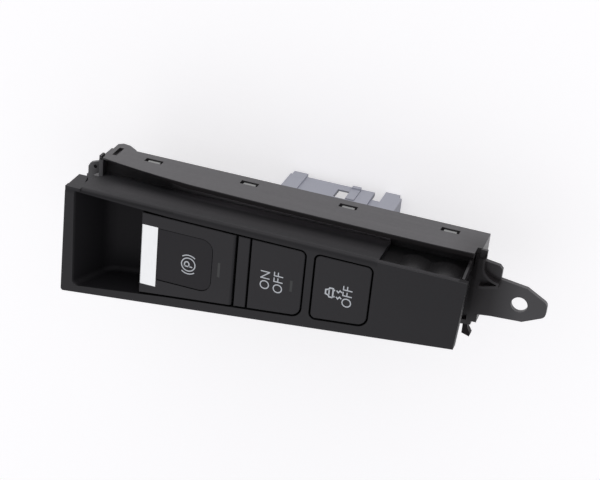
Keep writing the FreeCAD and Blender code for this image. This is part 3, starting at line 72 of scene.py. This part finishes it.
# Camera. It stands over the tab end and the tall wall, about six hundred
# millimetres away, and looks down along the strip at the buttons.
camera_data = bpy.data.cameras.new("camera")
camera_data.sensor_width = 36.0
camera_data.lens = 91.67
camera_data.clip_start = 0.01
camera = bpy.data.objects.new("camera", camera_data)
bpy.context.scene.collection.objects.link(camera)
camera.matrix_world = Matrix((
    (0.9421, -0.2277, 0.2461, 0.0597),
    (0.0896, 0.8783, 0.4696, 0.2911),
    (-0.3231, -0.4204, 0.8479, 0.5183),
    (0.0, 0.0, 0.0, 1.0),
))
bpy.context.scene.camera = camera
bpy.context.scene.view_settings.view_transform = "Standard"


# Studio. A plain white table under the strip, soft white surroundings, one
# large lamp low on the wall side and a weak one over the buttons.
def white_table(low):
    mesh = bpy.data.meshes.new("table")
    half = 3.0  # metres from the middle to each side
    mesh.from_pydata(
        [(-half, -half, low), (half, -half, low), (half, half, low), (-half, half, low)],
        [], [(0, 1, 2, 3)],
    )
    table = bpy.data.objects.new("table", mesh)
    bpy.context.scene.collection.objects.link(table)
    paint = bpy.data.materials.new("table_white")
    paint.use_nodes = True
    tree = paint.node_tree
    tree.nodes.clear()
    out = tree.nodes.new("ShaderNodeOutputMaterial")
    matt = tree.nodes.new("ShaderNodeBsdfDiffuse")
    matt.inputs["Color"].default_value = (0.66, 0.655, 0.66, 1.0)
    glow = tree.nodes.new("ShaderNodeEmission")
    glow.inputs["Color"].default_value = (1.0, 0.985, 1.0, 1.0)
    glow.inputs["Strength"].default_value = 0.55
    add = tree.nodes.new("ShaderNodeAddShader")
    path = tree.nodes.new("ShaderNodeLightPath")
    either = tree.nodes.new("ShaderNodeMath")
    either.operation = "MAXIMUM"
    tree.links.new(path.outputs["Is Camera Ray"], either.inputs[0])
    tree.links.new(path.outputs["Is Glossy Ray"], either.inputs[1])
    mix = tree.nodes.new("ShaderNodeMixShader")
    tree.links.new(matt.outputs[0], add.inputs[0])
    tree.links.new(glow.outputs[0], add.inputs[1])
    tree.links.new(either.outputs[0], mix.inputs[0])
    tree.links.new(matt.outputs[0], mix.inputs[1])
    tree.links.new(add.outputs[0], mix.inputs[2])
    tree.links.new(mix.outputs[0], out.inputs["Surface"])
    mesh.materials.append(paint)


def studio_lamp(name, place, aim, size, power):
    data = bpy.data.lights.new(name, "AREA")
    data.shape = "RECTANGLE"
    data.size, data.size_y = size
    data.energy = power
    lamp = bpy.data.objects.new(name, data)
    bpy.context.scene.collection.objects.link(lamp)
    away = Vector(aim) - Vector(place)
    lamp.matrix_world = Matrix.Translation(place) @ away.to_track_quat("-Z", "Y").to_matrix().to_4x4()


table_gap = 0.0001
strip_middle = (-0.09, 0.0, 0.0)
white_table(cad_box[0][2] - table_gap)
studio_lamp("wall_side_lamp", (-0.05, 1.30, 0.10), strip_middle, (1.6, 0.8), 8.0)
studio_lamp("button_lamp", (-0.55, -0.60, 0.95), strip_middle, (0.6, 0.6), 0.6)

world = bpy.data.worlds.new("surroundings")
world.use_nodes = True
surround = world.node_tree
surround.nodes.clear()
world_out = surround.nodes.new("ShaderNodeOutputWorld")
dim = surround.nodes.new("ShaderNodeBackground")
dim.inputs["Color"].default_value = (0.97, 0.98, 1.0, 1.0)
dim.inputs["Strength"].default_value = 0.62
white = surround.nodes.new("ShaderNodeBackground")
white.inputs["Color"].default_value = (1.0, 0.99, 1.0, 1.0)
white.inputs["Strength"].default_value = 1.0
seen = surround.nodes.new("ShaderNodeLightPath")
world_mix = surround.nodes.new("ShaderNodeMixShader")
surround.links.new(seen.outputs["Is Camera Ray"], world_mix.inputs[0])
surround.links.new(dim.outputs[0], world_mix.inputs[1])
surround.links.new(white.outputs[0], world_mix.inputs[2])
surround.links.new(world_mix.outputs[0], world_out.inputs["Surface"])
bpy.context.scene.world = world


# Face panel. One black moulding with a fine eroded grain and a slightly
# uneven sheen; it snaps over the housing. Its hollows and rounded edge are
# toned to the photograph's light, which says nothing of the real plastic.
def moulded_plastic(name, dark, light, rough, grain, depth, streak=0.0, sheen=0.5,
                    tint=(1.0, 1.0, 1.0)):
    finish = bpy.data.materials.new(name)
    finish.use_nodes = True
    tree = finish.node_tree
    shader = tree.nodes["Principled BSDF"]
    shader.inputs["Specular IOR Level"].default_value = sheen
    shader.inputs["Specular Tint"].default_value = (*tint, 1.0)
    place = tree.nodes.new("ShaderNodeTexCoord")

    cloud = tree.nodes.new("ShaderNodeTexNoise")
    cloud.inputs["Scale"].default_value = 38.0
    cloud.inputs["Detail"].default_value = 4.0
    tree.links.new(place.outputs["Object"], cloud.inputs["Vector"])
    tone = tree.nodes.new("ShaderNodeMix")
    tone.data_type = "RGBA"
    tone.inputs["A"].default_value = (*dark, 1.0)
    tone.inputs["B"].default_value = (*light, 1.0)
    tree.links.new(cloud.outputs["Fac"], tone.inputs["Factor"])
    tree.links.new(tone.outputs["Result"], shader.inputs["Base Color"])

    spots = tree.nodes.new("ShaderNodeTexNoise")
    spots.inputs["Scale"].default_value = grain * 0.35
    spots.inputs["Detail"].default_value = 3.0
    tree.links.new(place.outputs["Object"], spots.inputs["Vector"])
    gloss = tree.nodes.new("ShaderNodeMapRange")
    gloss.inputs["To Min"].default_value = rough - 0.06
    gloss.inputs["To Max"].default_value = rough + 0.06
    tree.links.new(spots.outputs["Fac"], gloss.inputs["Value"])
    tree.links.new(gloss.outputs["Result"], shader.inputs["Roughness"])

    erode = tree.nodes.new("ShaderNodeTexNoise")
    erode.inputs["Scale"].default_value = grain
    erode.inputs["Detail"].default_value = 2.0
    tree.links.new(place.outputs["Object"], erode.inputs["Vector"])
    relief = tree.nodes.new("ShaderNodeBump")
    relief.inputs["Strength"].default_value = 0.5
    relief.inputs["Distance"].default_value = depth
    tree.links.new(erode.outputs["Fac"], relief.inputs["Height"])
    tree.links.new(relief.outputs["Normal"], shader.inputs["Normal"])
    if streak:
        flow = tree.nodes.new("ShaderNodeMapping")
        flow.inputs["Scale"].default_value = (12.0, 160.0, 160.0)
        drawn = tree.nodes.new("ShaderNodeTexNoise")
        drawn.inputs["Scale"].default_value = 1.0
        soft = tree.nodes.new("ShaderNodeBump")
        soft.inputs["Strength"].default_value = streak
        soft.inputs["Distance"].default_value = 0.0002
        tree.links.new(place.outputs["Object"], flow.inputs["Vector"])
        tree.links.new(flow.outputs["Vector"], drawn.inputs["Vector"])
        tree.links.new(drawn.outputs["Fac"], soft.inputs["Height"])
        tree.links.new(soft.outputs["Normal"], relief.inputs["Normal"])
    return finish


def dress(node, finish):
    mesh = nodes[node].data
    mesh.materials.clear()
    mesh.materials.append(finish)


UPRIGHT = ((1, 0, 0), (0, 1, 0), (0, 0, 1))


def shade_in_box(finish, low, high, edge, share, tone_there, lean=UPRIGHT):
    """Painted shade and painted light inside a box: another share of sheen and another tone there, fading
    over edge; its low walls may lean.
    """
    tree = finish.node_tree
    shader = tree.nodes["Principled BSDF"]
    place = tree.nodes.new("ShaderNodeTexCoord")
    inside = None
    for start, stop, fade, leaning, plain in zip(low, high, edge, lean, UPRIGHT):
        for bound, way, normal in ((start, 1, leaning), (stop, -1, plain)):
            along = tree.nodes.new("ShaderNodeVectorMath")
            along.operation = "DOT_PRODUCT"
            along.inputs[1].default_value = normal
            tree.links.new(place.outputs["Object"], along.inputs[0])
            ramp = tree.nodes.new("ShaderNodeMapRange")
            ramp.inputs["From Min"].default_value = bound - way * fade
            ramp.inputs["From Max"].default_value = bound
            tree.links.new(along.outputs["Value"], ramp.inputs["Value"])
            if inside is None:
                inside = ramp.outputs["Result"]
                continue
            both = tree.nodes.new("ShaderNodeMath")
            both.operation = "MULTIPLY"
            tree.links.new(inside, both.inputs[0])
            tree.links.new(ramp.outputs["Result"], both.inputs[1])
            inside = both.outputs[0]
    kept = tree.nodes.new("ShaderNodeMapRange")
    kept.inputs["To Min"].default_value = 1.0
    kept.inputs["To Max"].default_value = share
    tree.links.new(inside, kept.inputs["Value"])
    level = tree.nodes.new("ShaderNodeMath")
    level.operation = "MULTIPLY"
    sheen = shader.inputs["Specular IOR Level"]
    level.inputs[0].default_value = sheen.default_value
    if sheen.links:
        tree.links.new(sheen.links[0].from_socket, level.inputs[0])
    tree.links.new(kept.outputs["Result"], level.inputs[1])
    tree.links.new(level.outputs[0], sheen)
    tone = tree.nodes.new("ShaderNodeMix")
    tone.data_type = "RGBA"
    tone.inputs["B"].default_value = (*tone_there, 1.0)
    tree.links.new(inside, tone.inputs["Factor"])
    tree.links.new(shader.inputs["Base Color"].links[0].from_socket, tone.inputs["A"])
    tree.links.new(tone.outputs["Result"], shader.inputs["Base Color"])


panel_black = moulded_plastic(
    "panel_black", (0.006, 0.006, 0.0065), (0.010, 0.010, 0.011), 0.48, 2600.0, 0.00003, sheen=0.445,
    tint=(0.985, 0.945, 1.0))
scoop_walls = ((1, 0, 0.576), (-0.1123, 1, 0), (0, 0, 1))
# Painted shade and painted light on the face panel: each box sets its own tone and share of sheen.
panel_painted_light_and_shade = {  # low corner, high corner, fade, share of sheen, tone, lean of the low walls
    # painted shade: a flat, dull tone inside the finger scoop
    "scoop": ((-0.1700, -0.0114, 0.0030), (-0.1385, 0.0125, 0.0186), (0.0008, 0.0008, 0.0008), 0.25,
              (0.011, 0.0105, 0.0118), scoop_walls),
    # painted shade: the panel's side at the tab end darker and duller
    "tab_end_side": ((-0.0215, -0.0152, 0.0), (-0.0175, 0.0165, 0.0188), (0.0008, 0.0008, 0.0008), 0.45,
                     (0.006, 0.006, 0.0065), UPRIGHT),
    # painted light: the panel deep in the slot under the tall wall made much lighter
    "slot_floor": ((-0.118, 0.0130, 0.0), (-0.055, 0.0145, 0.0020), (0.030, 0.001, 0.004), 1.0,
                   (0.12, 0.11, 0.12), UPRIGHT),
    # painted light: the panel's side halfway up in the slot made lighter
    "slot_middle": ((-0.165, 0.0134, 0.0095), (-0.055, 0.0145, 0.0130), (0.010, 0.0002, 0.004), 1.0,
                    (0.026, 0.025, 0.0265), UPRIGHT),
    # painted shade: the sheen on the panel's rounded top edge dimmed
    "rounded_edge": ((-0.178, 0.0112, 0.0181), (-0.055, 0.0145, 0.0192), (0.002, 0.0006, 0.0004), 0.74,
                     (0.008, 0.008, 0.0085), UPRIGHT),
}
for region in panel_painted_light_and_shade.values():
    shade_in_box(panel_black, *region)
dress("trim_panel", panel_black)


# Housing. The deeper black moulding under the panel, a little greyer, with
# faint flow marks along the tall wall; it carries the fixing tab. Some of its
# regions are toned to the photograph's light, as on the panel.
housing_black = moulded_plastic(
    "housing_black", (0.0185, 0.0175, 0.0185), (0.0265, 0.0245, 0.0265), 0.38, 1500.0, 0.00003, streak=0.6,
    sheen=0.99, tint=(0.985, 0.965, 1.0))
# Painted shade and painted light on the housing: each box sets its own tone and share of sheen.
housing_painted_light_and_shade = {  # low corner, high corner, fade, share of sheen, tone
    # painted shade: the tall wall's front face darker and duller
    "lip_front": ((-0.176, 0.0165, -0.002), (-0.020, 0.0189, 0.0205), (0.0003, 0.0003, 0.0003), 0.25,
                  (0.012, 0.010, 0.0105)),
    # painted light: the deck deep in the slot under the tall wall made much lighter
    "slot_deck": ((-0.118, 0.0105, -0.004), (-0.055, 0.0172, 0.0015), (0.030, 0.001, 0.001), 1.0,
                  (0.16, 0.15, 0.16)),
    # painted shade: the hook at the tab-end corner darker and duller
    "corner_hook": ((-0.0212, -0.0215, -0.0026), (-0.0166, -0.0150, 0.0015), (0.0004, 0.0004, 0.0004), 0.2,
                    (0.006, 0.006, 0.006)),
    # painted shade: the housing inside the notch darker and duller
    "notch": ((-0.054, 0.006, -0.002), (-0.0185, 0.0166, 0.0185), (0.0005, 0.0005, 0.0005), 0.6,
              (0.012, 0.0115, 0.012)),
    # painted shade: the tab darker and duller near its foot by the post
    "tab_foot": ((-0.019, -0.020, -0.002), (-0.0115, 0.016, 0.0035), (0.012, 0.012, 0.012), 0.48,
                 (0.013, 0.011, 0.0118)),
}
for region in housing_painted_light_and_shade.values():
    shade_in_box(housing_black, *region)
dress("housing", housing_black)


# Base tray and its board. The pale tray is a plain moulding that closes the
# housing from below; the coated board inside carries terminals and lamps.
base_grey = moulded_plastic(
    "base_grey", (0.30, 0.30, 0.30), (0.36, 0.36, 0.355), 0.5, 1500.0, 0.00002)
dress("switch_base", base_grey)
board_green = moulded_plastic(
    "board_green", (0.01, 0.07, 0.03), (0.02, 0.10, 0.045), 0.35, 900.0, 0.00002)
dress("circuit_board", board_green)


# Connector. A blue-grey moulding with a dry, slightly blotchy skin that
# stands out below the base tray; the locking tongue is the same plastic.
connector_grey = moulded_plastic(
    "connector_grey", (0.39, 0.395, 0.45), (0.45, 0.455, 0.52), 0.55, 1400.0, 0.00003)
dress("connector_socket", connector_grey)
dress("connector_lock", connector_grey)


# Lever and push buttons. Black caps with a soft satin surface, finer than
# the panel; the divider between them is the same plastic. The lever's dish is
# toned to the photograph's light.
button_black = moulded_plastic(
    "button_black", (0.007, 0.007, 0.0075), (0.011, 0.011, 0.012), 0.44, 3600.0, 0.00002, sheen=0.44,
    tint=(0.985, 0.94, 1.0))
lever_black = button_black.copy()
lever_black.name = "lever_black"
# Painted shade: the lever's dish darker and a little duller.
shade_in_box(lever_black, (-0.1438, -0.0187, 0.010), (-0.1201, 0.0050, 0.01946), (0.00012, 0.00012, 0.00012),
             0.82, (0.0065, 0.0062, 0.0075))
dress("brake_lever", lever_black)
for cap in ("hold_button", "stability_button", "divider_strip"):
    dress(cap, button_black)


# Bright strip. A satin plated strip clipped over the lever's finger end; it
# mirrors the white table, so it reads almost white.
def plated(name, tint, rough, brush):
    finish = bpy.data.materials.new(name)
    finish.use_nodes = True
    tree = finish.node_tree
    shader = tree.nodes["Principled BSDF"]
    shader.inputs["Base Color"].default_value = (*tint, 1.0)
    shader.inputs["Metallic"].default_value = 1.0
    place = tree.nodes.new("ShaderNodeTexCoord")
    stretch = tree.nodes.new("ShaderNodeMapping")
    stretch.inputs["Scale"].default_value = brush
    lines = tree.nodes.new("ShaderNodeTexNoise")
    lines.inputs["Scale"].default_value = 1.0
    lines.inputs["Detail"].default_value = 3.0
    gloss = tree.nodes.new("ShaderNodeMapRange")
    gloss.inputs["To Min"].default_value = rough - 0.05
    gloss.inputs["To Max"].default_value = rough + 0.05
    relief = tree.nodes.new("ShaderNodeBump")
    relief.inputs["Strength"].default_value = 0.15
    relief.inputs["Distance"].default_value = 0.00001
    tree.links.new(place.outputs["Object"], stretch.inputs["Vector"])
    tree.links.new(stretch.outputs["Vector"], lines.inputs["Vector"])
    tree.links.new(lines.outputs["Fac"], gloss.inputs["Value"])
    tree.links.new(gloss.outputs["Result"], shader.inputs["Roughness"])
    tree.links.new(lines.outputs["Fac"], relief.inputs["Height"])
    tree.links.new(relief.outputs["Normal"], shader.inputs["Normal"])
    return finish


dress("lever_strip", plated("bright_strip", (0.86, 0.86, 0.87), 0.30, (2500.0, 300.0, 2500.0)))


# Metal inside. Plain steel pin, screws and spring, tinned terminals and
# wipers, all from drawn or stamped stock.
steel = plated("steel", (0.55, 0.55, 0.56), 0.32, (1500.0, 1500.0, 300.0))
tin = plated("tinned_metal", (0.72, 0.69, 0.60), 0.28, (1500.0, 1500.0, 200.0))
for part in ("pivot_pin", "board_screws"):
    dress(part, steel)
for part in ("terminal_pins", "slider_wipers"):
    dress(part, tin)


def soft_piece(node, finish):
    """A soft piece in place of its CAD node: a copy of its mesh in the given finish, with the node hidden.
    """
    mesh = nodes[node].data.copy()
    mesh.materials.clear()
    mesh.materials.append(finish)
    piece = bpy.data.objects.new("soft_" + node, mesh)
    bpy.context.scene.collection.objects.link(piece)
    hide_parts(node)
    return piece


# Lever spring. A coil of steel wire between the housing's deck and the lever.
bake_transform(soft_piece("lever_spring", steel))


# Lenses, light guides and lamps. Smoked windows in the caps, clear rods
# below the symbols and milky lamps on the board.
def clear_moulding(name, tint, rough, through):
    finish = moulded_plastic(name, tint, tint, rough, 900.0, 0.00001)
    shader = finish.node_tree.nodes["Principled BSDF"]
    shader.inputs["Transmission Weight"].default_value = through
    shader.inputs["IOR"].default_value = 1.49
    return finish


lens_smoke = clear_moulding("lens_smoke", (0.028, 0.028, 0.029), 0.3, 0.0)
for part in ("lever_lens", "hold_lens"):
    dress(part, lens_smoke)
clear_plastic = clear_moulding("clear_plastic", (0.90, 0.92, 0.92), 0.12, 0.85)
for part in ("lever_light_guide", "hold_light_guide", "stability_light_guide"):
    dress(part, clear_plastic)
dress("leds", clear_moulding("light_body", (0.85, 0.82, 0.60), 0.3, 0.2))


# Slider and contact domes. A white sliding block, and two soft grey domes that stand on the board.
dress("contact_slider", moulded_plastic(
    "slider_white", (0.62, 0.62, 0.60), (0.70, 0.70, 0.68), 0.4, 1200.0, 0.00001))
dome_rubber = moulded_plastic(
    "dome_rubber", (0.10, 0.10, 0.105), (0.14, 0.14, 0.145), 0.7, 2000.0, 0.00002)
for part, press in (("hold_dome", "hold_press"), ("stability_dome", "stability_press")):
    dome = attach(soft_piece(part, dome_rubber), "strip")
    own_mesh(dome)


# Markings. A thin layer of pale print on the caps: it reads upwards along
# the strip, so its top points to the finger scoop.
print_white = moulded_plastic("print_white", (0.58, 0.60, 0.64), (0.66, 0.68, 0.72), 0.4, 4000.0, 0.000005)
cap_face = 0.0197
dish_depth = 0.00025
print_height = 0.00006
symbol_line = 0.00045
letter_line = 0.0005


def print_shape(name, mesh, centre, face, body):
    mesh.materials.clear()
    mesh.materials.append(print_white)
    marking = bpy.data.objects.new(name, mesh)
    bpy.context.scene.collection.objects.link(marking)
    marking.matrix_world = (
        Matrix.Translation((centre[0], centre[1], face - print_height / 3))
        @ Matrix.Rotation(math.pi / 2, 4, "Z")
    )
    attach(marking, body)


def add_band(mesh, left, right):
    """A raised band between two lines of points, left and right of its run."""
    rows = []
    for height in (0.0, print_height):
        rows.append([mesh.verts.new((x, y, height)) for x, y in left])
        rows.append([mesh.verts.new((x, y, height)) for x, y in right])
    low_left, low_right, top_left, top_right = rows
    for i in range(len(left) - 1):
        mesh.faces.new((top_left[i], top_right[i], top_right[i + 1], top_left[i + 1]))
        mesh.faces.new((low_left[i + 1], low_right[i + 1], low_right[i], low_left[i]))
        mesh.faces.new((low_left[i], top_left[i], top_left[i + 1], low_left[i + 1]))
        mesh.faces.new((low_right[i + 1], top_right[i + 1], top_right[i], low_right[i]))
    for i, flip in ((0, False), (len(left) - 1, True)):
        corners = [low_left[i], low_right[i], top_right[i], top_left[i]]
        mesh.faces.new(corners[::-1] if flip else corners)


def add_arc(mesh, centre, radius, line, start, stop, steps=24):
    turn = [math.radians(start + (stop - start) * i / steps) for i in range(steps + 1)]
    sides = []
    for offset in (line / 2, -line / 2):
        sides.append([
            (centre[0] + (radius + offset) * math.cos(t), centre[1] + (radius + offset) * math.sin(t))
            for t in turn
        ])
    add_band(mesh, sides[0], sides[1])


def add_stroke(mesh, points, line):
    """A drawn line of one width through the points, mitred at its corners."""
    left, right = [], []
    for i, point in enumerate(points):
        here = Vector(point)
        before = (here - Vector(points[i - 1])).normalized() if i else None
        after = (Vector(points[i + 1]) - here).normalized() if i < len(points) - 1 else None
        if before is None:
            before = after
        if after is None:
            after = before
        along = (before + after).normalized()
        out = Vector((-along.y, along.x))
        reach = line / 2 / max(0.5, out.dot(Vector((-before.y, before.x))))
        left.append(tuple(here + out * reach))
        right.append(tuple(here - out * reach))
    add_band(mesh, left, right)


def finished(mesh, name):
    bmesh.ops.recalc_face_normals(mesh, faces=mesh.faces)
    data = bpy.data.meshes.new(name)
    mesh.to_mesh(data)
    mesh.free()
    return data


def print_word(name, word, height, centre, face, body, squeeze=1.0):
    letters = bpy.data.curves.new(name, "FONT")
    letters.body = word
    letters.align_x = "CENTER"
    letters.align_y = "CENTER"
    letters.size = height * 1.38
    letters.resolution_u = 3
    letters.extrude = print_height / 2
    letters.offset = -0.00004
    block = bpy.data.objects.new(name, letters)
    mesh = bpy.data.meshes.new_from_object(block)
    bpy.data.objects.remove(block)
    mesh.transform(Matrix.Diagonal((squeeze, 1.0, 1.0, 1.0)))
    mesh.transform(Matrix.Translation((0, 0, print_height / 2)))
    print_shape(name, mesh, centre, face, body)


# Brake symbol on the lever: a P in a ring between two brackets.
lever_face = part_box("brake_lever")[1].z
brake_sign = bmesh.new()
add_arc(brake_sign, (0, 0), 0.0029, symbol_line, 0, 360, 48)
for turn in (0, 180):
    add_arc(brake_sign, (0, 0), 0.0042, symbol_line, turn - 40, turn + 40, 16)
add_stroke(brake_sign, [(-0.0009, -0.0018), (-0.0009, 0.0017)], letter_line)
add_stroke(brake_sign, [(-0.0011, 0.0016), (0.0004, 0.0016), (0.0010, 0.0012), (0.0012, 0.0006),
                        (0.0010, 0.0001), (0.0004, -0.0003), (-0.0011, -0.0003)], letter_line)
print_shape("brake_sign", finished(brake_sign, "brake_sign"), (-0.1303, -0.0081), lever_face - dish_depth,
            "lever")

# Words on the middle button and sign on the button beside the tab end.
word_height = 0.0042
word_squeeze = 0.95
print_word("hold_on", "ON", word_height, (-0.0975, -0.0062), cap_face, "hold_key", word_squeeze)
print_word("hold_off", "OFF", word_height, (-0.0920, -0.0062), cap_face, "hold_key", word_squeeze)
print_word("stability_off", "OFF", word_height, (-0.0636, -0.0049), cap_face, "stability_key", word_squeeze)
skid_sign = bmesh.new()
car = [(-0.0020, -0.0012), (-0.0020, 0.0002), (-0.0013, 0.0006), (-0.0009, 0.0018), (0.0009, 0.0018),
       (0.0013, 0.0006), (0.0020, 0.0002), (0.0020, -0.0012), (-0.0020, -0.0012)]
add_stroke(skid_sign, car, 0.0006)
add_stroke(skid_sign, [(-0.0013, 0.0004), (0.0013, 0.0004)], letter_line)
for side in (-1, 1):
    add_stroke(skid_sign, [(side * 0.0014, -0.0014), (side * 0.0014, -0.0020)], 0.0007)
    add_stroke(skid_sign, [(side * 0.0014 + 0.0002, -0.0026), (side * 0.0014 - 0.0006, -0.0033),
                           (side * 0.0014 + 0.0004, -0.0040), (side * 0.0014 - 0.0003, -0.0048)],
               letter_line)
print_shape("skid_sign", finished(skid_sign, "skid_sign"), (-0.0708, -0.0046), cap_face, "stability_key")
